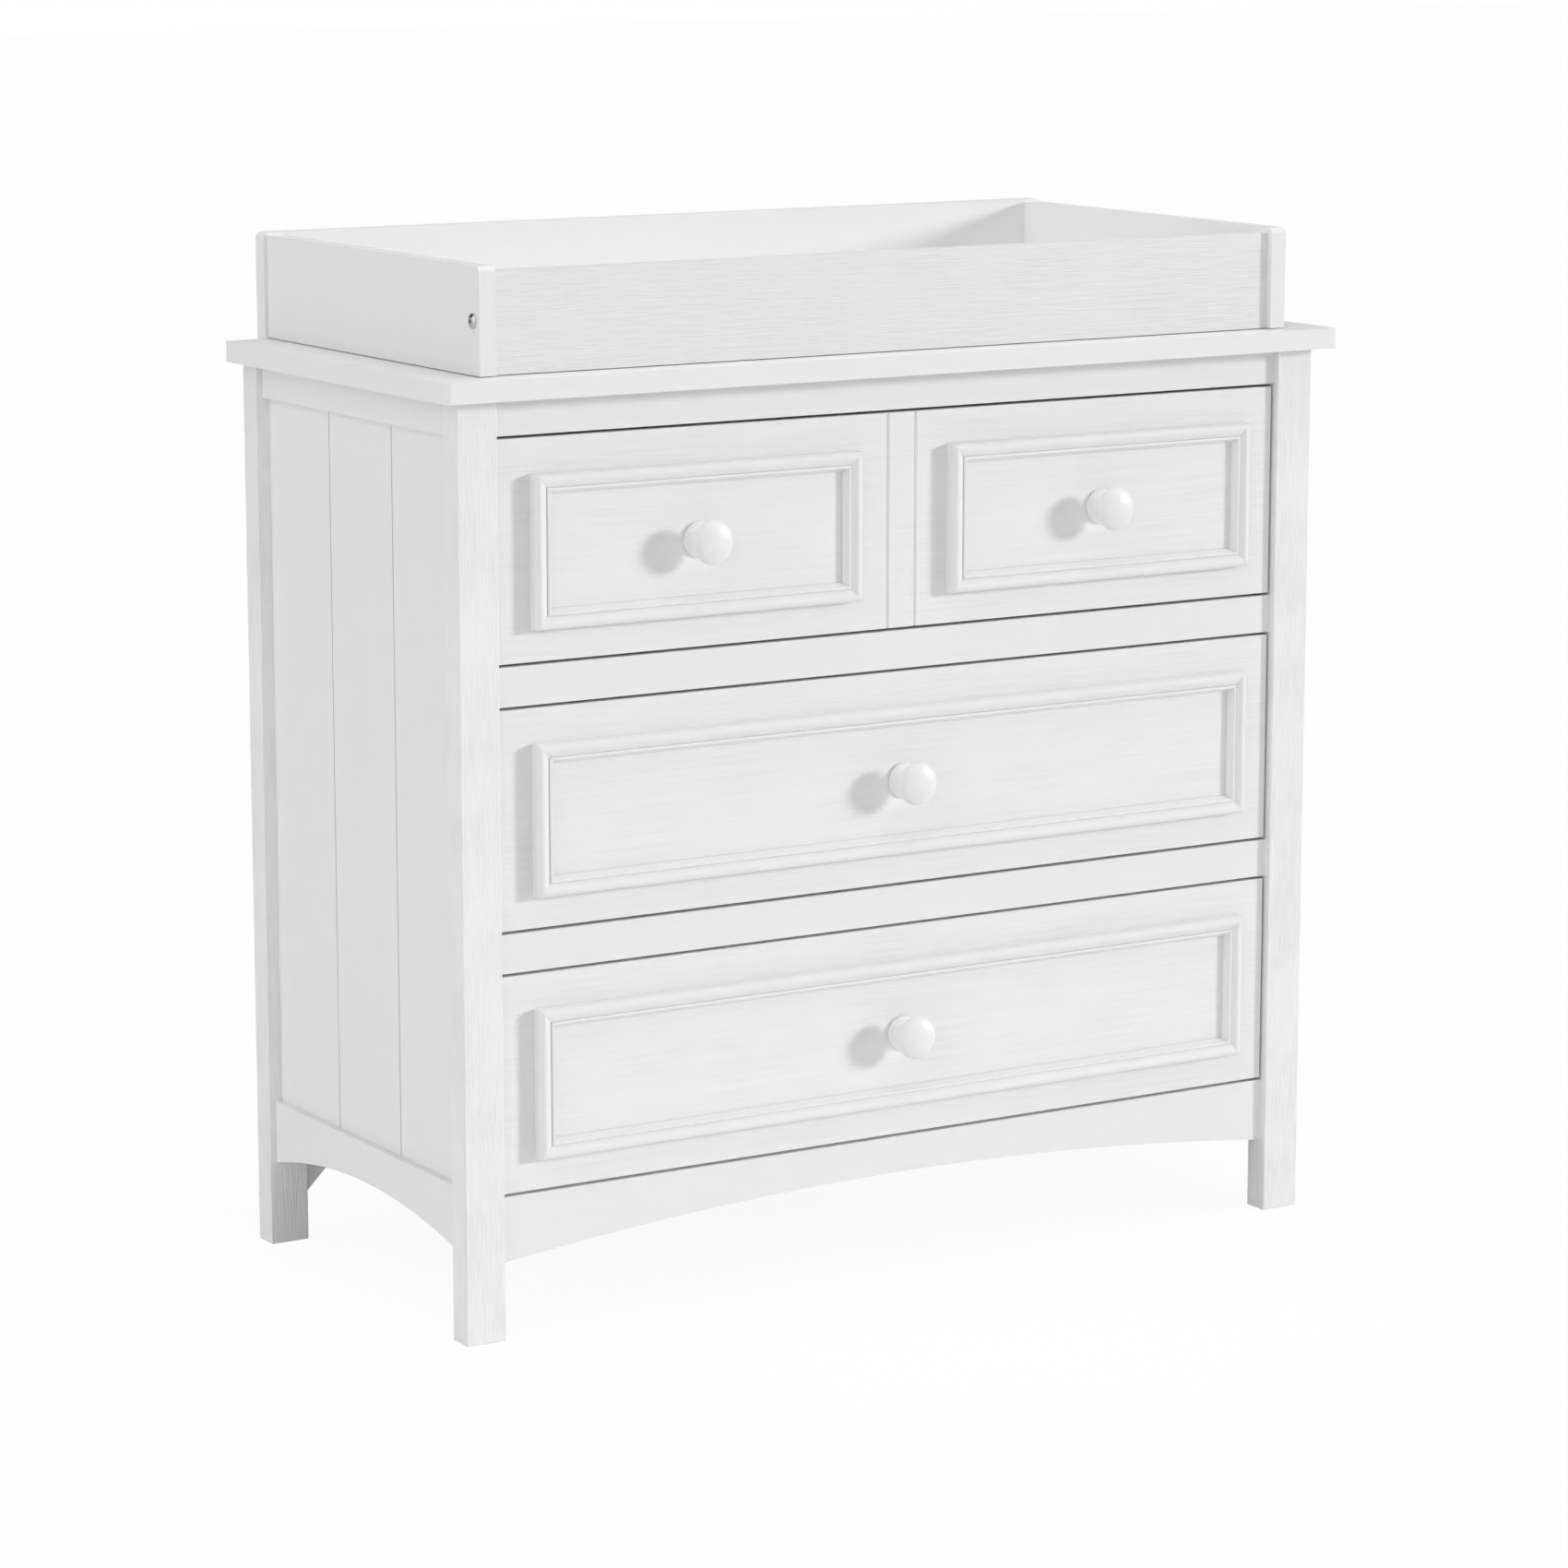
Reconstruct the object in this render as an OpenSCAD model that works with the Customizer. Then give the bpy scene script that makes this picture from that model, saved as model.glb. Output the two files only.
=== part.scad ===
// Three-drawer changing table: a panelled dresser with a fixed changing tray on its top.
// Millimetres. +X to the right, +Y to the back, +Z up. The origin is on the floor, under
// the centre of the whole object. Every sub-part is its own module and its own node.

/* [Cabinet] */
// Width over the outer faces of the legs
cabinet_w = 960; // [900:1:1050]
// Depth from the front of the front legs to the back of the rear legs
cabinet_d = 442; // [430:1:500]
// Height of the underside of the top
cabinet_h = 880; // [870:1:960]
// Leg size across the width
leg_x = 41; // [38:1:50]
// Leg size front to back
leg_y = 28; // [24:1:36]
// How far the front rails and drawer fronts sit behind the legs' front faces
front_recess = 7; // [4:1:10]
// How far the side rails sit behind the legs' outer faces
side_recess = 7; // [4:1:10]
// How far the side planks sit behind the side rails
plank_recess = 7; // [4:1:9]

/* [Top] */
// Thickness of the top
top_t = 20; // [18:1:28]
// Overhang of the top past the legs at each side
top_side = 19; // [10:1:30]
// Overhang of the top past the legs at the front
top_front = 17; // [10:1:22]
// Radius of the top's upright corners
top_corner = 5; // [2:0.5:12]

/* [Rails] */
// Height of the front rail under the top, and of the upper side rails
top_rail_h = 34; // [30:1:50]
// Height of the two rails between the drawers
divider_h = 37; // [30:1:45]
// Thickness of the front and rear rails
rail_t = 20; // [18:1:24]
// Floor to the lower edge of the front apron, at its ends
apron_end = 73; // [50:1:85]
// Rise of the arch cut in the front apron
apron_rise = 27; // [10:1:32]
// Floor to the lower edge of the lower side rails, at their ends
side_end = 83; // [60:1:90]
// Rise of the arch cut in the lower side rails
side_rise = 24; // [10:1:30]
// Floor to the upper edge of the lower side rails
side_rail_top = 146; // [140:1:160]

/* [Drawers] */
// Height of each of the three drawer openings
opening_h = 212; // [205:1:214]
// Gap round each drawer front
front_gap = 2.8; // [1.5:0.1:3.5]
// Thickness of the drawer fronts
front_t = 18; // [16:1:20]
// Depth of the drawer boxes behind the fronts
box_d = 380; // [340:1:384]
// Height of the drawer boxes
box_h = 150; // [120:1:165]
// Thickness of the drawer box sides and backs
box_t = 12; // [10:1:15]

/* [Mouldings] */
// Width of the applied moulding
mould_w = 19; // [18:0.5:22]
// Height of the moulding's crest above the drawer front
mould_h = 14; // [12.5:0.1:16]
// How far the field inside a moulding stands forward of the drawer front
field_raise = 5; // [2:0.5:6]
// Edge of the drawer opening to the moulding, at the sides
mould_side = 36; // [30:0.5:45]
// Edge of the drawer opening to the moulding, above and below on average
mould_end = 34.5; // [32:0.5:45]
// How far the mouldings and knobs sit below the middle of the drawer openings
mould_drop = 1.5; // [0:0.5:3]
// Width between the two framed fields of the top drawer front
stile_w = 102; // [90:1:120]
// Spacing of the two grooves that mark the stile of the top drawer front
stile_groove = 31; // [24:1:40]

/* [Knobs] */
// Diameter of the knob's head
knob_d = 42; // [36:0.5:46]
// Diameter of the knob's base
knob_base_d = 34; // [32:1:40]
// Length of the knob
knob_len = 33; // [31:1:40]

/* [Tray] */
// Width over the tray's side boards
tray_w = 903; // [880:1:920]
// Height of the tray's side boards
tray_h = 100; // [85:1:110]
// Height of the tray's front board
tray_front_h = 95; // [80:1:100]
// Height of the tray's back board above the top
tray_back_h = 102.5; // [85:0.5:115]
// Thickness of the side and front boards
tray_t = 17; // [15:1:20]
// Thickness of the back board
tray_back_t = 18; // [15:1:20]
// Front edge of the top to the front ends of the side boards
tray_setback = 25; // [15:1:35]
// How far the front board sits behind the ends of the side boards
tray_recess = 6; // [3:1:10]
// How far the back board reaches below the surface of the top
tray_drop = 60; // [50:1:70]
// Gap under the side and front boards
tray_gap = 0.8; // [0.2:0.1:2]

/* [Hidden] */
// Front to back: the object is centred on its knobs' faces and the tray's back
knob_reach = knob_len + field_raise - front_recess;
leg_front = knob_reach - (knob_reach + cabinet_d + tray_back_t)/2;
leg_back = leg_front + cabinet_d;
leg_mid = (leg_front + leg_back)/2;
face_y = leg_front + front_recess;

// Across: outer and inner faces of the legs, rails and planks
half_w = cabinet_w/2;
bay_w = half_w - leg_x;
rail_out = half_w - side_recess;
plank_out = rail_out - plank_recess;
plank_t = 12;
plank_in = plank_out - plank_t;
side_len = cabinet_d - 2*leg_y;
plank_gap = 1.6;
plank_gap_deep = 8;
groove_deep = 2;
top_z = cabinet_h + top_t;
rail_low = cabinet_h - top_rail_h;

// The drawers, from the bottom: 0, 1 and 2
apron_top = rail_low - 3*opening_h - 2*divider_h;
function opening_z(i) = apron_top + i*(opening_h + divider_h);
function field_mid(i) = opening_z(i) + opening_h/2 - mould_drop;
front_w = 2*(bay_w - front_gap);
front_h = opening_h - 2*front_gap;
box_low = 20;
bottom_t = 4;
bottom_up = 9;
bottom_in = 6;

// Ball-bearing slides: three nested channels in the space beside each drawer box
slide_space = 13;
slide_len = 350;
slide_y = leg_front + leg_y + 3;
slide_steel = 1.2;
slide_up = 78;
slide_h = 45;
middle_h = 39;
inner_h = 31;
box_out = bay_w - slide_space;
batten_h = 58;

// Blocks, the thin back and the brackets under the top
gusset = 39;
back_t = 4;
bracket = 28;
bracket_x = plank_in - 17;
bracket_z = cabinet_h - 17;
bracket_screw_r = 2.2;

// Fasteners
hole_slack = 0.1;
mitre_gap = 0.05;
knob_waist = 9.4;
knob_screw_r = 2;
knob_bite = 16;
bolt_r = 3;
bolt_head_r = 7;
bolt_head_t = 3;
bolt_y = 12.5;
bolt_len = 52;
nut_r = 5;
nut_in = 44;
screw_r = 2;
screw_head_r = 4;
screw_head_t = 3;
screw_len = 50;
cam_r = 7.5;
cam_t = 12.5;
cam_in = 34;

// Tray: where its boards start and end
top_edge = leg_front - top_front;
tray_front_y = top_edge + tray_setback;
tray_half = tray_w/2;
back_board_over = 3.5;
tray_round = 6;

white = [0.95, 0.95, 0.94];
inside = [0.86, 0.80, 0.70];
steel = [0.72, 0.73, 0.75];
board = [0.90, 0.89, 0.86];

// ---------- Helpers ----------

// A box from one corner to the opposite one
module block(low, high) {
  translate(low) cube(high - low);
}

// A shape and its mirror image across the middle of the object
module pair() {
  children();
  mirror([1, 0, 0]) children();
}

// A round hole or rod along X, Y or Z, from a start point
module rod_x(p, r, len) {
  translate(p) rotate([0, 90, 0]) cylinder(r = r, h = len, $fn = 32);
}
module rod_y(p, r, len) {
  translate(p) rotate([-90, 0, 0]) cylinder(r = r, h = len, $fn = 32);
}

// Radius of an arch with the given half span and rise
function arch_r(half, rise) = (half*half + rise*rise)/(2*rise);

// Points of an arc: centre, radius, start and end angle, steps
function arc(c, r, a, b, n) =
  [for (i = [0:n]) c + r*[cos(a + (b - a)*i/n), sin(a + (b - a)*i/n)]];

// ---------- Cabinet ----------

// The top: a plain slab with rounded upright corners, flush with the rear legs
module top_panel() {
  x = half_w + top_side;
  r = top_corner;
  color(white) difference() {
    translate([0, 0, cabinet_h]) linear_extrude(top_t) union() {
      translate([-x + r, top_edge]) square([2*(x - r), leg_back - top_edge]);
      translate([-x, top_edge + r]) square([2*x, leg_back - top_edge - 2*r]);
      for (sx = [-1, 1], y = [top_edge + r, leg_back - r])
        translate([sx*(x - r), y]) circle(r, $fn = 48);
    }
    bracket_pilots();
  }
}

// One square-cut leg, on the +X side
module leg(y) {
  color(white) block([bay_w, y, 0], [half_w, y + leg_y, cabinet_h]);
}

// The panel of three planks between the legs, with a narrow gap where the planks meet
module side_panel() {
  color(white) difference() {
    block([plank_in, leg_front + leg_y, side_rail_top], [plank_out, leg_back - leg_y, rail_low]);
    for (i = [-1, 1])
      translate([plank_out, leg_mid + i*side_len/6, side_rail_top - 1])
        linear_extrude(rail_low - side_rail_top + 2)
          polygon([[1, -plank_gap/2], [-plank_gap_deep, -plank_gap/2],
                   [-plank_gap_deep, plank_gap/2], [1, plank_gap/2]]);
  }
}

module upper_side_rail() {
  color(white) difference() {
    block([plank_in, leg_front + leg_y, rail_low], [rail_out, leg_back - leg_y, cabinet_h]);
    bracket_pilots();
  }
}

// The lower side rail, with its shallow arch
module lower_side_rail() {
  r = arch_r(side_len/2, side_rise);
  color(white) difference() {
    block([plank_in, leg_front + leg_y, side_end], [rail_out, leg_back - leg_y, side_rail_top]);
    rod_arch([plank_in - 1, leg_mid, side_end + side_rise - r], r, rail_out - plank_in + 2);
  }
}

// The cutter of a side arch: a large cylinder along X
module rod_arch(p, r, len) {
  translate(p) rotate([0, 90, 0]) cylinder(r = r, h = len, $fn = 180);
}

// A straight front rail with pockets for its two cam locks
module front_rail(z, h) {
  color(white) difference() {
    block([-bay_w, face_y, z], [bay_w, face_y + rail_t, z + h]);
    cam_pockets(z + h/2);
  }
}

module cam_pockets(z) {
  for (s = [-1, 1])
    rod_y([s*(bay_w - cam_in), face_y + rail_t - cam_t - hole_slack, z],
          cam_r + hole_slack, cam_t + 2);
}

// The front apron under the bottom drawer, with its long shallow arch
module front_apron() {
  r = arch_r(bay_w, apron_rise);
  color(white) difference() {
    block([-bay_w, face_y, apron_end], [bay_w, face_y + rail_t, apron_top]);
    translate([0, face_y - 1, apron_end + apron_rise - r]) rotate([-90, 0, 0])
      cylinder(r = r, h = rail_t + 2, $fn = 360);
    cam_pockets(apron_top - top_rail_h/2);
  }
}

// Steel cam locks in the backs of the front rails, slotted for a screwdriver
module cam_locks() {
  color(steel) for (s = [-1, 1], z = cam_heights())
    difference() {
      rod_y([s*(bay_w - cam_in), face_y + rail_t - cam_t, z], cam_r, cam_t);
      block([s*(bay_w - cam_in) - 5, face_y + rail_t - 1.5, z - 0.8],
            [s*(bay_w - cam_in) + 5, face_y + rail_t + 1, z + 0.8]);
    }
}
function cam_heights() = [apron_top - top_rail_h/2, opening_z(1) - divider_h/2,
                          opening_z(2) - divider_h/2, cabinet_h - top_rail_h/2];

// The rear rail that the top and the tray's back board are screwed to
module rear_top_rail() {
  color(white) difference() {
    block([-bay_w, leg_back - rail_t, cabinet_h - 62], [bay_w, leg_back, cabinet_h]);
    for (x = anchor_x()) rod_y([x, leg_back - rail_t - 1, anchor_z()], screw_r + hole_slack,
                               rail_t + 2);
  }
}

module rear_bottom_rail() {
  color(white) block([-bay_w, leg_back - rail_t, side_end],
                     [bay_w, leg_back, side_rail_top]);
}

// Triangular blocks under the rear rail, against the rear legs
module rear_gussets() {
  color(white) pair() translate([bay_w, leg_back, side_end]) rotate([90, 0, 0])
    linear_extrude(rail_t) polygon([[0, 0], [0, -gusset], [-gusset, 0]]);
}

// The thin back, in front of the rear rails
module back_panel() {
  color(board) block([-bay_w, leg_back - rail_t - back_t, side_end + 12],
                     [bay_w, leg_back - rail_t, cabinet_h]);
}

// Battens between the legs that carry the slides, three on a side
module slide_battens() {
  color(inside) for (i = [0:2])
    block([bay_w, leg_front + leg_y, opening_z(i) + slide_up - batten_h/2],
          [plank_in, leg_back - leg_y, opening_z(i) + slide_up + batten_h/2]);
}

// Angle brackets that hold the top down, on the inner faces of the upper side rails
module top_brackets() {
  color(steel) pair() for (y = bracket_y())
    difference() {
      translate([plank_in, y + 10, cabinet_h]) rotate([90, 0, 0]) linear_extrude(20)
        polygon([[0, 0], [-bracket, 0], [-bracket, -2], [-2, -2], [-2, -bracket],
                 [0, -bracket]]);
      translate([bracket_x, y, cabinet_h - 3])
        cylinder(r = bracket_screw_r + hole_slack, h = 4, $fn = 24);
      rod_x([plank_in - 3, y, bracket_z], bracket_screw_r + hole_slack, 4);
    }
}

// Pan-head screws through the brackets, up into the top and out into the side rails
module bracket_screws() {
  color(steel) pair() for (y = bracket_y()) {
    translate([bracket_x, y, cabinet_h - 3]) cylinder(r = bracket_screw_r, h = 15, $fn = 32);
    translate([bracket_x, y, cabinet_h - 4]) cylinder(r = 4, h = 2, $fn = 32);
    rod_x([plank_in - 3, y, bracket_z], bracket_screw_r, 15);
    rod_x([plank_in - 4, y, bracket_z], 4, 2);
  }
}

function bracket_y() = [leg_mid - 110, leg_mid + 110];

// Their pilot holes, in the top and in the upper side rails
module bracket_pilots() {
  pair() for (y = bracket_y()) {
    translate([bracket_x, y, cabinet_h - 1])
      cylinder(r = bracket_screw_r + hole_slack, h = 13.5, $fn = 32);
    rod_x([plank_in - 1, y, bracket_z], bracket_screw_r + hole_slack, 13.5);
  }
}

// ---------- Slides ----------

// A steel channel along Y on the +X side: web from x0 to x0 + steel, flanges to x1
module channel(x0, x1, h, z) {
  s = x1 > x0 ? 1 : -1;
  w = abs(x1 - x0);
  translate([x0, slide_y + slide_len, z - h/2]) rotate([90, 0, 0]) linear_extrude(slide_len)
    polygon([[0, 0], [s*w, 0], [s*w, slide_steel], [s*slide_steel, slide_steel],
             [s*slide_steel, h - slide_steel], [s*w, h - slide_steel], [s*w, h], [0, h]]);
}

module cabinet_slides() {
  color(steel) pair() for (i = [0:2])
    channel(bay_w, bay_w - 10, slide_h, opening_z(i) + slide_up);
}

module slide_middles(i) {
  color(steel) pair() channel(bay_w - 3.2, bay_w - 11, middle_h, opening_z(i) + slide_up);
}

module drawer_slides(i) {
  color(steel) pair() channel(box_out, box_out + 7.4, inner_h, opening_z(i) + slide_up);
}

// ---------- Drawers ----------

function knob_xs(i) = i == 2 ? [-knob_pitch(), knob_pitch()] : [0];
// The middle of one of the top drawer's two framed fields
function knob_pitch() = (stile_w/2 + bay_w - mould_side)/2;

// Outer size of the moulding round each framed field
frame_h = opening_h - 2*mould_end;
function frame_w(i) = let(wide = 2*(bay_w - mould_side)) i == 2 ? (wide - stile_w)/2 : wide;

// A drawer front with its raised fields, bored for its knob screws; the top one is grooved
// as if for a stile
module drawer_front(i) {
  w = frame_w(i)/2 - mould_w - mitre_gap;
  h = frame_h/2 - mould_w - mitre_gap;
  color(white) difference() {
    union() {
      block([-front_w/2, face_y, opening_z(i) + front_gap],
            [front_w/2, face_y + front_t, opening_z(i) + front_gap + front_h]);
      for (x = knob_xs(i))
        block([x - w, face_y - field_raise, field_mid(i) - h],
              [x + w, face_y + 1, field_mid(i) + h]);
    }
    for (x = knob_xs(i))
      rod_y([x, face_y - field_raise - 1, field_mid(i)], knob_screw_r + hole_slack,
            field_raise + front_t + 2);
    if (i == 2) for (s = [-1, 1])
      translate([s*stile_groove/2, face_y, opening_z(i)]) linear_extrude(opening_h)
        polygon([[-2, -1], [-2, 0], [0, groove_deep], [2, 0], [2, -1]]);
  }
}

// The moulding's cross-section: x from the outer edge inward, y away from the drawer front.
// A square outer side, a rounded crest, a slope down to a narrow quirk, and an inner bead.
function mould_profile() = concat(
  [[0, 0]],
  arc([5, mould_h - 5], 5, 180, 60, 10),
  [[mould_w - 6.6, mould_h - 3.6], [mould_w - 6.5, mould_h - 4.2]],
  arc([mould_w - 4.9, mould_h - 3.2], 1.6, 165, 0, 8),
  [[mould_w - 3.1, mould_h - 4.2], [mould_w - 0.8, field_raise + 0.8],
   [mould_w, field_raise + 0.4], [mould_w, 0]]
);

// One mitred length of moulding along X, its outer edge on z = 0 and its inner edge above
module mould_stick(len) {
  intersection() {
    translate([-len/2, 0, 0]) rotate([90, 0, 90]) linear_extrude(len)
      polygon([for (p = mould_profile()) [-p[1], p[0]]]);
    translate([0, 1, 0]) rotate([90, 0, 0]) linear_extrude(mould_h + 2)
      polygon([[-len/2 + mitre_gap, 0], [len/2 - mitre_gap, 0],
               [len/2 - mitre_gap - mould_w, mould_w], [-len/2 + mitre_gap + mould_w, mould_w]]);
  }
}

// Four mitred lengths round a field w wide and h high
module mould_frame(w, h) {
  for (s = [0, 180]) rotate([0, s, 0]) translate([0, 0, -h/2]) mould_stick(w);
  for (s = [90, 270]) rotate([0, s, 0]) translate([0, 0, -w/2]) mould_stick(h);
}

module drawer_moulding(i) {
  color(white) for (x = knob_xs(i))
    translate([x, face_y, field_mid(i)]) mould_frame(frame_w(i), frame_h);
}

// A turned knob's outline, from its axis: rounded foot, waisted neck, full head
function knob_outline() = let(
    head = knob_d/2,
    base = knob_base_d/2,
    rim = knob_len - 7.2
  ) concat(
    [[0, 0], [base - 1.6, 0]],
    arc([base - 1.9, 1.9], 1.9, -70, 80, 6),
    arc([knob_waist + 8.4, 12], 8.4, 247, 118, 12),
    [for (t = [-70:14:0]) [head - 6 + 6*cos(t), rim + 4.5*sin(t)]],
    [for (t = [10:8:90]) [head*cos(t), rim + (knob_len - rim)*sin(t)]]
  );

// A knob on the front of a drawer, bored for its screw
module knob(x, z) {
  translate([x, face_y - field_raise, z]) rotate([90, 0, 0]) difference() {
    rotate_extrude($fn = 72) polygon(knob_outline());
    translate([0, 0, -1]) cylinder(r = knob_screw_r + hole_slack, h = knob_bite + 1.5, $fn = 32);
  }
}

module drawer_knobs(i) {
  color(white) for (x = knob_xs(i)) knob(x, field_mid(i));
}

// Pan-head screws that hold the knobs from inside the drawer
module knob_screws(i) {
  color(steel) for (x = knob_xs(i)) {
    rod_y([x, face_y - field_raise - knob_bite, field_mid(i)], knob_screw_r,
          knob_bite + field_raise + front_t);
    rod_y([x, face_y + front_t, field_mid(i)], 4.5, 2.4);
  }
}

// Where each drawer box starts and ends
box_y0 = face_y + front_t;
box_y1 = box_y0 + box_d;

// The two sides of a drawer box, grooved for the bottom
module drawer_sides(i) {
  z = opening_z(i) + box_low;
  color(inside) pair() difference() {
    block([box_out - box_t, box_y0, z], [box_out, box_y1, z + box_h]);
    block([box_out - box_t - 1, box_y0 - 1, z + bottom_up],
          [box_out - box_t + bottom_in, box_y1 + 1, z + bottom_up + bottom_t]);
  }
}

module drawer_back(i) {
  z = opening_z(i) + box_low;
  color(inside) block([box_t - box_out, box_y1 - box_t, z + bottom_up + bottom_t],
                      [box_out - box_t, box_y1, z + box_h]);
}

module drawer_bottom(i) {
  z = opening_z(i) + box_low + bottom_up;
  x = box_out - box_t + bottom_in;
  color(board) block([-x, box_y0, z], [x, box_y1, z + bottom_t]);
}

// ---------- Tray ----------

// A flat outline from x0 to x1 and z0 to z1, with its two upper corners rounded
module round_top(x0, x1, z0, z1) {
  r = tray_round;
  translate([x0, z0]) square([x1 - x0, z1 - r - z0]);
  translate([x0 + r, z1 - r - 1]) square([x1 - x0 - 2*r, r + 1]);
  for (x = [x0 + r, x1 - r]) translate([x, z1 - r]) circle(r, $fn = 40);
}

// A side board of the tray, with its upper front corner rounded, on the +X side
module tray_side_board() {
  color(white) difference() {
    translate([tray_half - tray_t, 0, top_z]) rotate([90, 0, 90]) linear_extrude(tray_t)
      union() {
        translate([tray_front_y, tray_gap])
          square([leg_back - tray_front_y, tray_h - tray_round - tray_gap]);
        translate([tray_front_y + tray_round, tray_gap])
          square([leg_back - tray_front_y - tray_round, tray_h - tray_gap]);
        translate([tray_front_y + tray_round, tray_h - tray_round])
          circle(tray_round, $fn = 40);
      }
    rod_x([tray_half - tray_t - 1, tray_front_y + bolt_y, top_z + tray_h/2],
          bolt_r + hole_slack, tray_t + 2);
    for (z = back_screw_z())
      rod_y([tray_half - tray_t/2, leg_back - screw_len, z], screw_r + hole_slack, screw_len + 1);
  }
}

// The front board, bored from both ends for the bolts and from inside for their nuts
module tray_front_board() {
  x = tray_half - tray_t;
  y = tray_front_y + tray_recess;
  color(white) difference() {
    block([-x, y, top_z + tray_gap], [x, y + tray_t, top_z + tray_front_h]);
    pair() rod_x([tray_half - bolt_len - 4, tray_front_y + bolt_y, top_z + tray_h/2],
                 bolt_r + hole_slack, bolt_len + 4);
    pair() rod_y([tray_half - nut_in, y + 2, top_z + tray_h/2], nut_r + hole_slack, tray_t);
  }
}

// The back board: behind the top, reaching down over the rear rail
module tray_back_board() {
  x = tray_half + back_board_over;
  color(white) difference() {
    translate([0, leg_back + tray_back_t, 0]) rotate([90, 0, 0]) linear_extrude(tray_back_t)
      round_top(-x, x, top_z - tray_drop, top_z + tray_back_h);
    for (x = anchor_x()) tray_screw_hole(x, anchor_z());
    pair() for (z = back_screw_z()) tray_screw_hole(tray_half - tray_t/2, z);
  }
}

function anchor_x() = [-390, -130, 130, 390];
function anchor_z() = cabinet_h - 20;
function back_screw_z() = [top_z + 24, top_z + tray_h - 24];

module tray_screw_hole(x, z) {
  rod_y([x, leg_back - 1, z], screw_r + hole_slack, tray_back_t + 2);
  rod_y([x, leg_back + tray_back_t - screw_head_t, z], screw_head_r + hole_slack,
        screw_head_t + 1);
}

// Wood screws through the back board, into the side boards and the rear rail
module tray_screws() {
  color(steel) {
    for (x = anchor_x()) tray_screw(x, anchor_z(), rail_t + tray_back_t);
    pair() for (z = back_screw_z()) tray_screw(tray_half - tray_t/2, z, screw_len);
  }
}

module tray_screw(x, z, len) {
  y1 = leg_back + tray_back_t;
  rod_y([x, y1 - len, z], screw_r, len - screw_head_t);
  rod_y([x, y1 - screw_head_t, z], screw_head_r, screw_head_t);
}

// Socket-head bolts through the side boards into the front board
module tray_bolts() {
  x = tray_half;
  color(steel) pair() difference() {
    union() {
      rod_x([x - bolt_len, tray_front_y + bolt_y, top_z + tray_h/2], bolt_r, bolt_len);
      bolt_head([x, tray_front_y + bolt_y, top_z + tray_h/2]);
    }
    translate([x + 0.8, tray_front_y + bolt_y, top_z + tray_h/2]) rotate([0, 90, 0])
      cylinder(r = 2.3, h = bolt_head_t, $fn = 6);
  }
}

// A low domed bolt head, bevelled round its edge
module bolt_head(p) {
  translate(p) rotate([0, 90, 0]) rotate_extrude($fn = 48)
    polygon([[0, 0], [bolt_head_r, 0], [bolt_head_r, 1], [bolt_head_r - 1.6, bolt_head_t - 0.6],
             [bolt_head_r - 3, bolt_head_t], [0, bolt_head_t]]);
}

// Cylindrical cross nuts in the front board
module tray_barrel_nuts() {
  y = tray_front_y + tray_recess;
  color(steel) pair() difference() {
    rod_y([tray_half - nut_in, y + 3, top_z + tray_h/2], nut_r, tray_t - 4);
    rod_x([tray_half - nut_in - nut_r - 1, tray_front_y + bolt_y, top_z + tray_h/2],
          bolt_r + hole_slack, 2*nut_r + 2);
  }
}

// ---------- Nodes ----------

top_panel();
mirror([1, 0, 0]) leg(leg_front);  // front_left_leg
leg(leg_front);  // front_right_leg
mirror([1, 0, 0]) leg(leg_back - leg_y);  // rear_left_leg
leg(leg_back - leg_y);  // rear_right_leg
mirror([1, 0, 0]) side_panel();  // left_side_panel
side_panel();  // right_side_panel
mirror([1, 0, 0]) upper_side_rail();  // left_upper_side_rail
upper_side_rail();  // right_upper_side_rail
mirror([1, 0, 0]) lower_side_rail();  // left_lower_side_rail
lower_side_rail();  // right_lower_side_rail
front_rail(rail_low, top_rail_h);  // front_top_rail
front_rail(opening_z(2) - divider_h, divider_h);  // upper_divider_rail
front_rail(opening_z(1) - divider_h, divider_h);  // lower_divider_rail
front_apron();
rear_top_rail();
rear_bottom_rail();
rear_gussets();
back_panel();
mirror([1, 0, 0]) slide_battens();  // left_slide_battens
slide_battens();  // right_slide_battens
cam_locks();
top_brackets();
bracket_screws();
cabinet_slides();
mirror([1, 0, 0]) tray_side_board();  // tray_left_board
tray_side_board();  // tray_right_board
tray_front_board();
tray_back_board();
tray_bolts();
tray_barrel_nuts();
tray_screws();

drawer_front(2);  // top_drawer_front
drawer_moulding(2);  // top_drawer_moulding
drawer_knobs(2);  // top_drawer_knobs
knob_screws(2);  // top_drawer_knob_screws
drawer_sides(2);  // top_drawer_sides
drawer_back(2);  // top_drawer_back
drawer_bottom(2);  // top_drawer_bottom
drawer_slides(2);  // top_drawer_slides
slide_middles(2);  // top_slide_middles

drawer_front(1);  // middle_drawer_front
drawer_moulding(1);  // middle_drawer_moulding
drawer_knobs(1);  // middle_drawer_knob
knob_screws(1);  // middle_drawer_knob_screw
drawer_sides(1);  // middle_drawer_sides
drawer_back(1);  // middle_drawer_back
drawer_bottom(1);  // middle_drawer_bottom
drawer_slides(1);  // middle_drawer_slides
slide_middles(1);  // middle_slide_middles

drawer_front(0);  // bottom_drawer_front
drawer_moulding(0);  // bottom_drawer_moulding
drawer_knobs(0);  // bottom_drawer_knob
knob_screws(0);  // bottom_drawer_knob_screw
drawer_sides(0);  // bottom_drawer_sides
drawer_back(0);  // bottom_drawer_back
drawer_bottom(0);  // bottom_drawer_bottom
drawer_slides(0);  // bottom_drawer_slides
slide_middles(0);  // bottom_slide_middles
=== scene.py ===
import math

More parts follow.
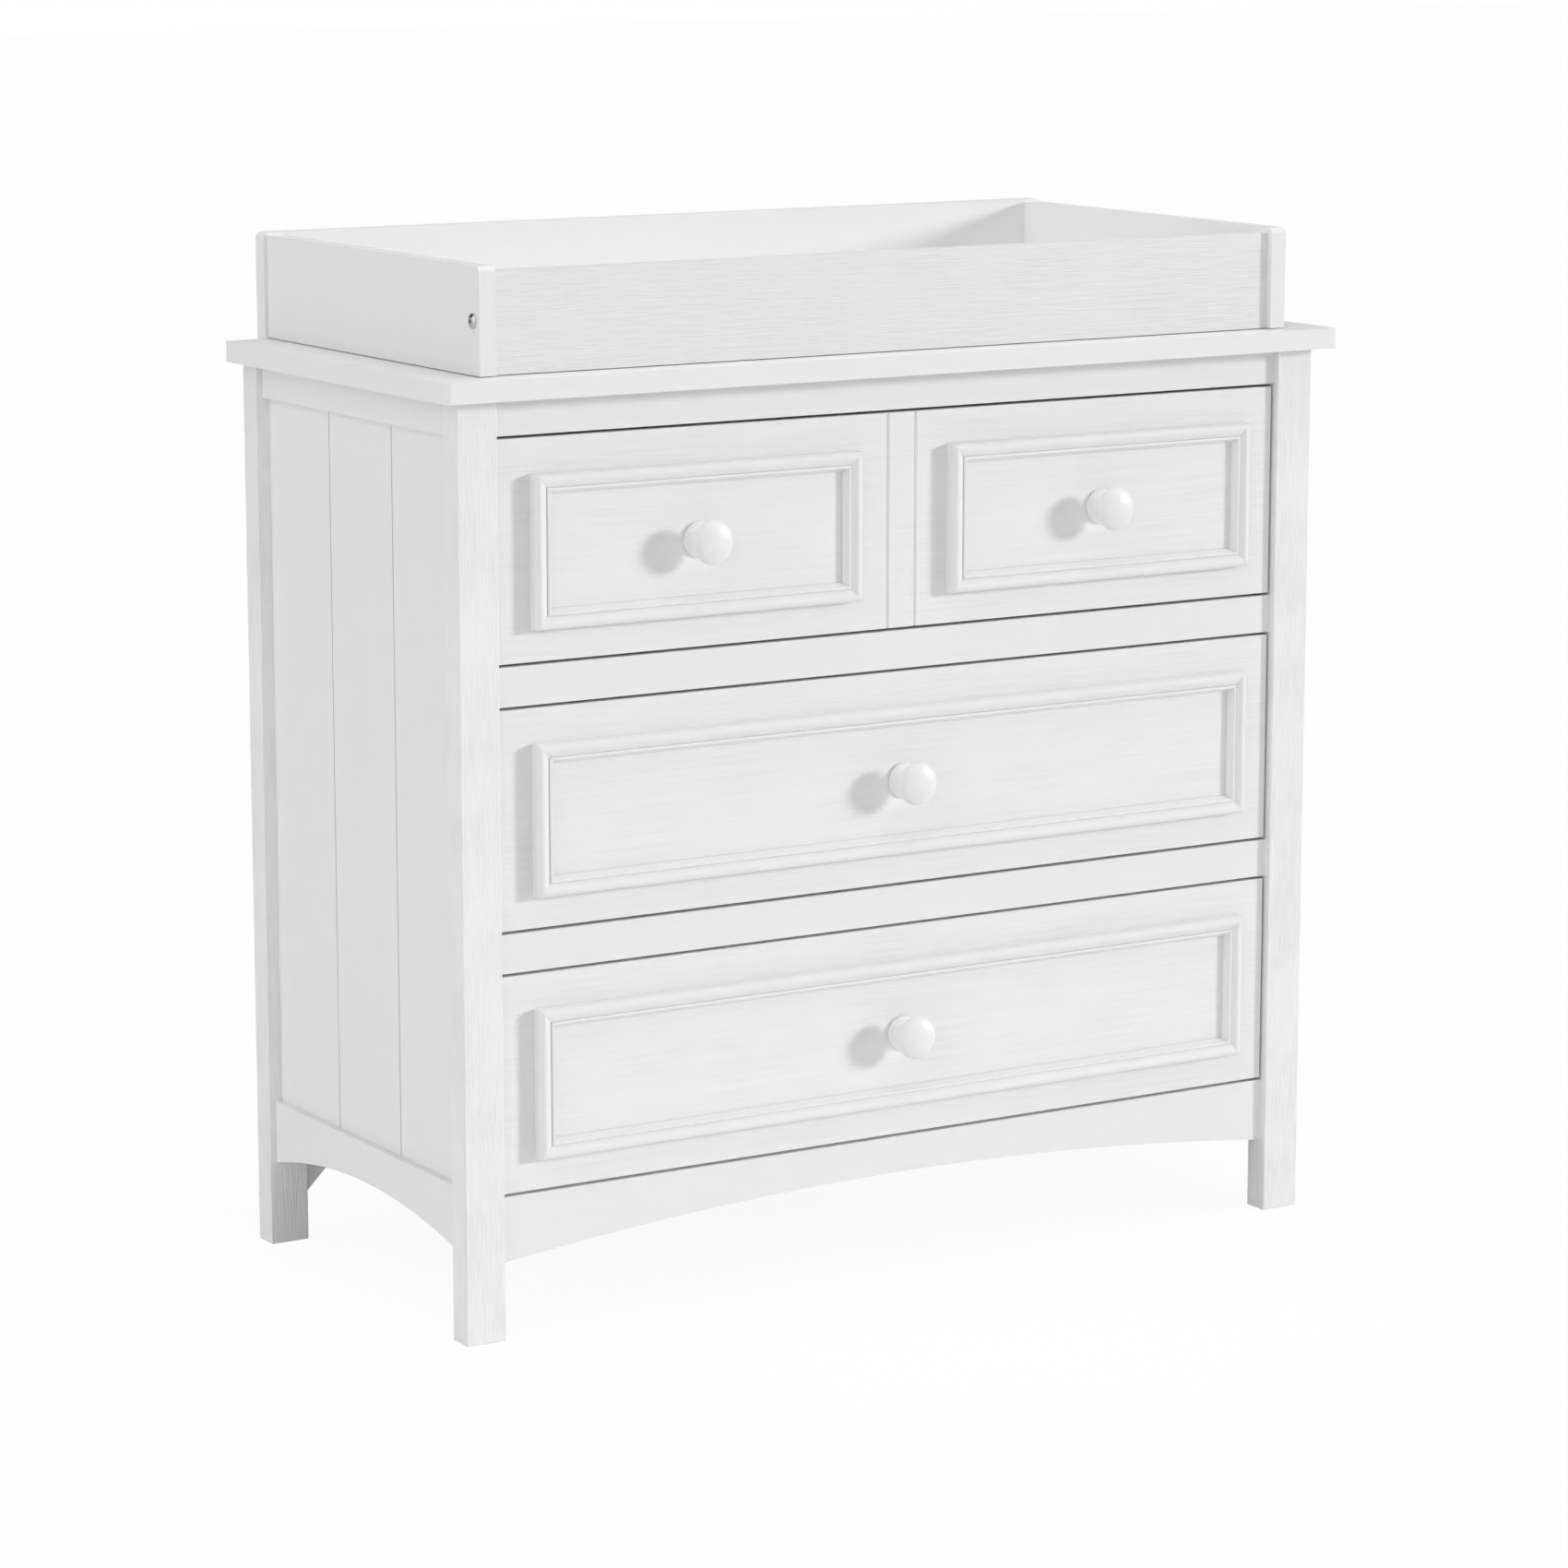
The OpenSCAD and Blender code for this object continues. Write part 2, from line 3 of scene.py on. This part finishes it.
import bmesh
import bpy
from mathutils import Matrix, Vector

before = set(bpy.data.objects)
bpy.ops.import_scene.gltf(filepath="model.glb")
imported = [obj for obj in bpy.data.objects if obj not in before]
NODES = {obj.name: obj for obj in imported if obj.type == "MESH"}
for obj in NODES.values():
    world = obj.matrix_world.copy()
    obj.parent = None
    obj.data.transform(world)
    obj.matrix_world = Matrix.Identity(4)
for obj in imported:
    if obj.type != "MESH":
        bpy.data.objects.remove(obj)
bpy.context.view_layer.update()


# ---------- The nodes, in groups ----------

def each(words, ending):
    return tuple(word + ending for word in words)


DRAWERS = ("top", "middle", "bottom")
SIDES = ("left", "right")

LEGS = ("front_left_leg", "front_right_leg", "rear_left_leg", "rear_right_leg")
FRONT_RAILS = ("front_top_rail", "upper_divider_rail", "lower_divider_rail", "front_apron")
SIDE_RAILS = each(SIDES, "_upper_side_rail") + each(SIDES, "_lower_side_rail")
SIDE_PANELS = each(SIDES, "_side_panel")
TRAY_SIDES = ("tray_left_board", "tray_right_board")
DRAWER_FRONTS = each(DRAWERS, "_drawer_front")
MOULDINGS = each(DRAWERS, "_drawer_moulding")
KNOBS = ("top_drawer_knobs", "middle_drawer_knob", "bottom_drawer_knob")
KNOB_SCREWS = ("top_drawer_knob_screws", "middle_drawer_knob_screw", "bottom_drawer_knob_screw")


# ---------- Edges ----------

SAME_POINT = 0.00001
SHARP_EDGE = math.radians(35)


def ease(names, width, segments=3):
    """Rounds the edges of CAD boards a little, as sanding and paint do."""
    for name in names:
        obj = NODES[name]
        weld = obj.modifiers.new("weld", "WELD")
        weld.merge_threshold = SAME_POINT
        bevel = obj.modifiers.new("ease", "BEVEL")
        bevel.width = width
        bevel.segments = segments
        bevel.limit_method = "ANGLE"
        bevel.angle_limit = SHARP_EDGE
        bevel.use_clamp_overlap = True
        normals = obj.modifiers.new("normals", "WEIGHTED_NORMAL")
        normals.keep_sharp = False


ease(("top_panel",), 0.0018)
ease(LEGS, 0.0012)
ease(TRAY_SIDES + ("tray_front_board", "tray_back_board"), 0.0015)
ease(FRONT_RAILS + DRAWER_FRONTS, 0.0004)
ease(MOULDINGS + SIDE_PANELS, 0.0003, segments=2)
ease(SIDE_RAILS + ("rear_bottom_rail", "rear_gussets"), 0.0008)


# ---------- Materials ----------

AXES = {"x": 0, "y": 1, "z": 2}


def grain_scale(along, across_scale, along_scale):
    """Noise scales for lines that run along one axis."""
    scale = [across_scale] * 3
    scale[AXES[along]] = along_scale
    return scale


def darker(colour, share):
    return tuple(c * share for c in colour)


class Shader:
    """A small helper for building node materials. Lengths in it are in metres."""

    def __init__(self, name, roughness, specular=0.5, metallic=0.0):
        self.mat = bpy.data.materials.new(name)
        self.mat.use_nodes = True
        self.tree = self.mat.node_tree
        self.bsdf = self.tree.nodes["Principled BSDF"]
        self.bsdf.inputs["Roughness"].default_value = roughness
        self.bsdf.inputs["Specular IOR Level"].default_value = specular
        self.bsdf.inputs["Metallic"].default_value = metallic

    def node(self, kind, operation=None, **inputs):
        n = self.tree.nodes.new(kind)
        if operation:
            n.operation = operation
        for key, value in inputs.items():
            n.inputs[key].default_value = value
        return n

    def link(self, a, b):
        self.tree.links.new(a, b)

    def set(self, key, socket):
        self.link(socket, self.bsdf.inputs[key])

    def scaled(self, vector, scale):
        mapping = self.node("ShaderNodeMapping", Scale=scale)
        self.link(vector, mapping.inputs["Vector"])
        return mapping.outputs["Vector"]

    def coords(self, scale=(1, 1, 1)):
        """The node's own coordinates, which are the frame's at rest, scaled."""
        return self.scaled(self.node("ShaderNodeTexCoord").outputs["Object"], scale)

    def bend(self, vector, along, amount):
        """Shifts a vector sideways by slow noise, so that long grain lines wander."""
        slow = self.node("ShaderNodeTexNoise", Scale=1.0, Detail=2.0)
        self.link(self.scaled(vector, grain_scale(along, 18.0, 5.0)), slow.inputs["Vector"])
        shift = self.node("ShaderNodeVectorMath", "SCALE", Scale=amount)
        self.link(slow.outputs["Color"], shift.inputs[0])
        total = self.node("ShaderNodeVectorMath", "ADD")
        self.link(vector, total.inputs[0])
        self.link(shift.outputs["Vector"], total.inputs[1])
        return total.outputs["Vector"]

    def noise(self, vector, scale=1.0, detail=4.0, rough=0.55, distortion=0.0):
        n = self.node("ShaderNodeTexNoise", Scale=scale, Detail=detail, Roughness=rough,
                      Distortion=distortion)
        self.link(vector, n.inputs["Vector"])
        return n.outputs["Fac"]

    def ramp(self, fac, low, high):
        """Blends between two stops, each a position and a grey or a colour."""
        n = self.node("ShaderNodeValToRGB")
        for element, (position, value) in zip(n.color_ramp.elements, (low, high)):
            element.position = position
            element.color = (*value, 1) if isinstance(value, tuple) else (value, value, value, 1)
        self.link(fac, n.inputs["Fac"])
        return n.outputs["Color"]

    def math(self, operation, a, b):
        n = self.node("ShaderNodeMath", operation)
        for socket, value in zip(n.inputs, (a, b)):
            if isinstance(value, (int, float)):
                socket.default_value = value
            else:
                self.link(value, socket)
        return n.outputs[0]

    def bump(self, height, depth, strength=1.0):
        n = self.node("ShaderNodeBump", Distance=depth, Strength=strength)
        self.link(height, n.inputs["Height"])
        self.set("Normal", n.outputs["Normal"])


def painted_wood(name, along, colour, line, length, depth, tint, patchy):
    """White paint over wood whose grain still shows, running along one axis.

    line and length are the usual width and length of a grain line, and depth is how deep
    the lines are. tint is how much darker the paint looks in them, and patchy is how much
    fainter the grain gets where it fades.
    """
    s = Shader(name, roughness=0.42, specular=0.4)
    bent = s.bend(s.coords(), along, 0.010)
    fine = s.noise(s.scaled(bent, grain_scale(along, 1 / line, 1 / length)), detail=3.0,
                   rough=0.6)
    broad = s.noise(s.scaled(bent, grain_scale(along, 0.2 / line, 0.2 / length)), detail=3.0)
    patches = s.noise(s.coords(), scale=14.0, detail=2.0)
    pores = s.ramp(fine, (0.36, 0.0), (0.60, 1.0))
    fade = s.ramp(patches, (0.30, 1 - patchy), (0.62, 1.0))
    sunk = s.math("MULTIPLY", s.math("SUBTRACT", 1.0, pores), fade)
    height = s.math("SUBTRACT", s.math("MULTIPLY", broad, 0.2), sunk)
    s.set("Base Color", s.ramp(sunk, (0.0, colour), (1.0, darker(colour, 1 - tint))))
    s.bump(height, depth)
    return s.mat


def smooth_paint(name, colour):
    """Sprayed paint with a faint orange peel."""
    s = Shader(name, roughness=0.36, specular=0.45)
    peel = s.noise(s.coords(), scale=650.0, detail=3.0)
    s.set("Base Color", s.ramp(peel, (0.3, darker(colour, 0.985)), (0.6, colour)))
    s.bump(peel, 0.00006, strength=0.4)
    return s.mat


def bare_wood(name, along, light, dark):
    """Unpainted wood, with its grain along one axis."""
    s = Shader(name, roughness=0.55)
    lines = s.noise(s.coords(grain_scale(along, 260, 5)), detail=6.0, rough=0.6, distortion=1.2)
    s.set("Base Color", s.ramp(lines, (0.32, dark), (0.62, light)))
    s.bump(lines, 0.0002, strength=0.4)
    return s.mat


def thin_board(name, colour):
    """Fibreboard with a faint mottle."""
    s = Shader(name, roughness=0.5)
    mottle = s.noise(s.coords(), scale=90.0, detail=5.0)
    s.set("Base Color", s.ramp(mottle, (0.35, darker(colour, 0.96)), (0.65, colour)))
    s.bump(mottle, 0.0002, strength=0.25)
    return s.mat


def metal(name, colour, roughness, along=None):
    """Plated metal, brushed along one axis or evenly grained."""
    s = Shader(name, roughness=roughness, metallic=1.0)
    scale = grain_scale(along, 1500, 20) if along else (900, 900, 900)
    scratch = s.noise(s.coords(scale), detail=3.0)
    s.set("Base Color", s.ramp(scratch, (0.3, darker(colour, 0.9)), (0.7, colour)))
    s.set("Roughness", s.ramp(scratch, (0.3, roughness * 1.2), (0.7, roughness * 0.85)))
    s.bump(scratch, 0.00005, strength=0.3)
    return s.mat


def give(material, *names):
    for name in names:
        mesh = NODES[name].data
        mesh.materials.clear()
        mesh.materials.append(material)


WHITE = (0.80, 0.80, 0.80)
SMOOTH_GRAIN = {"line": 0.0035, "length": 0.200, "depth": 0.00004, "tint": 0.010, "patchy": 0.8}

give(painted_wood("leg_paint", "z", (0.84, 0.84, 0.84), line=0.0013, length=0.030,
                  depth=0.00026, tint=0.065, patchy=0.6), *LEGS)
# The tray front board's paint is darker than the other white parts. That is painted shade, for
# the lesser light that reaches it, set back between the side boards. Its stronger grain is the
# board's own.
give(painted_wood("tray_paint", "x", (0.775, 0.775, 0.78), line=0.0018, length=0.050,
                  depth=0.00024, tint=0.05, patchy=0.6), "tray_front_board")
give(painted_wood("side_paint", "z", WHITE, **SMOOTH_GRAIN), "rear_gussets", *SIDE_PANELS)
give(painted_wood("front_paint", "x", (0.81, 0.81, 0.81), line=0.0036, length=0.150,
                  depth=0.00016, tint=0.035, patchy=0.8), *DRAWER_FRONTS)
give(painted_wood("panel_paint_x", "x", WHITE, **SMOOTH_GRAIN), "top_panel", *FRONT_RAILS,
     "rear_top_rail", "rear_bottom_rail", "tray_back_board")
give(painted_wood("panel_paint_y", "y", WHITE, **SMOOTH_GRAIN), *SIDE_RAILS, *TRAY_SIDES)
give(smooth_paint("smooth_paint", WHITE), *KNOBS, *MOULDINGS)

PINE = {"light": (0.72, 0.57, 0.38), "dark": (0.60, 0.44, 0.27)}
give(bare_wood("box_wood_y", "y", **PINE), *each(DRAWERS, "_drawer_sides"),
     *each(SIDES, "_slide_battens"))
give(bare_wood("box_wood_x", "x", **PINE), *each(DRAWERS, "_drawer_back"))
give(thin_board("white_board", (0.74, 0.73, 0.70)), "back_panel",
     *each(DRAWERS, "_drawer_bottom"))

give(metal("zinc_plate", (0.62, 0.63, 0.65), 0.38, "y"), "cabinet_slides",
     *each(DRAWERS, "_slide_middles"), *each(DRAWERS, "_drawer_slides"))
give(metal("nickel_plate", (0.60, 0.59, 0.57), 0.3), "cam_locks", "top_brackets",
     "bracket_screws", "tray_bolts", "tray_barrel_nuts", "tray_screws", *KNOB_SCREWS)


# ---------- Floor, light and camera ----------

def add(name, data):
    obj = bpy.data.objects.new(name, data)
    bpy.context.scene.collection.objects.link(obj)
    return obj


def floor(size, steps, glow_share):
    """A white floor that the camera sees mostly as plain white, with faint shadows."""
    bm = bmesh.new()
    for i in range(steps + 1):
        for j in range(steps + 1):
            bm.verts.new((size * (i / steps - 0.5), size * (j / steps - 0.5), 0))
    bm.verts.ensure_lookup_table()
    for i in range(steps):
        for j in range(steps):
            a = i * (steps + 1) + j
            bm.faces.new([bm.verts[k] for k in (a, a + steps + 1, a + steps + 2, a + 1)])
    mesh = bpy.data.meshes.new("floor")
    bm.to_mesh(mesh)
    bm.free()
    s = Shader("floor_white", roughness=0.9, specular=0.1)
    s.bsdf.inputs["Base Color"].default_value = (0.95, 0.95, 0.95, 1)
    glow = s.node("ShaderNodeEmission")
    path = s.node("ShaderNodeLightPath")
    mix = s.node("ShaderNodeMixShader")
    s.link(s.math("MULTIPLY", path.outputs["Is Camera Ray"], glow_share), mix.inputs["Fac"])
    s.link(s.bsdf.outputs["BSDF"], mix.inputs[1])
    s.link(glow.outputs["Emission"], mix.inputs[2])
    s.link(mix.outputs["Shader"], s.tree.nodes["Material Output"].inputs["Surface"])
    mesh.materials.append(s.mat)
    add("floor", mesh)


def white_surround():
    """A world that is plain white behind the object and gives no light."""
    world = bpy.data.worlds.new("studio")
    world.use_nodes = True
    tree = world.node_tree
    dark = tree.nodes["Background"]
    dark.inputs["Color"].default_value = (1, 1, 1, 1)
    dark.inputs["Strength"].default_value = 0.0
    seen = tree.nodes.new("ShaderNodeBackground")
    seen.inputs["Color"].default_value = (1, 1, 1, 1)
    seen.inputs["Strength"].default_value = 1.0
    path = tree.nodes.new("ShaderNodeLightPath")
    mix = tree.nodes.new("ShaderNodeMixShader")
    tree.links.new(path.outputs["Is Camera Ray"], mix.inputs["Fac"])
    tree.links.new(dark.outputs["Background"], mix.inputs[1])
    tree.links.new(seen.outputs["Background"], mix.inputs[2])
    tree.links.new(mix.outputs["Shader"], tree.nodes["World Output"].inputs["Surface"])
    bpy.context.scene.world = world


def far_light(name, azimuth, height, spread, power):
    """A distant soft light, in degrees. Azimuth 0 is straight in front, 90 is the right."""
    light = bpy.data.lights.new(name, "SUN")
    light.energy = power
    light.angle = math.radians(spread)
    a, e = math.radians(azimuth), math.radians(height)
    towards = Vector((math.sin(a) * math.cos(e), -math.cos(a) * math.cos(e), math.sin(e)))
    add(name, light).rotation_euler = towards.to_track_quat("Z", "Y").to_euler()


def softbox(name, centre, width, depth, power):
    """A soft light facing down, which the camera doesn't see."""
    light = bpy.data.lights.new(name, "AREA")
    light.shape = "RECTANGLE"
    light.size, light.size_y = width, depth
    light.energy = power
    obj = add(name, light)
    obj.location = centre
    obj.visible_camera = False


floor(size=60.0, steps=12, glow_share=0.93)
white_surround()
far_light("key", azimuth=57, height=12, spread=10, power=1.85)
far_light("left", azimuth=-75, height=20, spread=90, power=2.20)
far_light("front_high", azimuth=20, height=45, spread=50, power=0.37)
far_light("right_high", azimuth=60, height=50, spread=50, power=0.15)
far_light("back", azimuth=150, height=30, spread=50, power=0.30)
far_light("top", azimuth=0, height=88, spread=40, power=0.90)
softbox("over_tray", centre=(0, 0, 1.83), width=1.0, depth=0.5, power=2.5)
bpy.context.scene.view_settings.view_transform = "Standard"

CAMERA_YAW, CAMERA_PITCH = math.radians(31.56), math.radians(10.53)
camera = add("camera", bpy.data.cameras.new("camera"))
camera.data.sensor_width = 36.0
camera.data.lens = 116.62
camera.data.clip_end = 200
camera.location = (-2.6063, -4.2372, 1.3763)
camera.rotation_euler = (math.radians(90) - CAMERA_PITCH, 0, -CAMERA_YAW)
bpy.context.scene.camera = camera
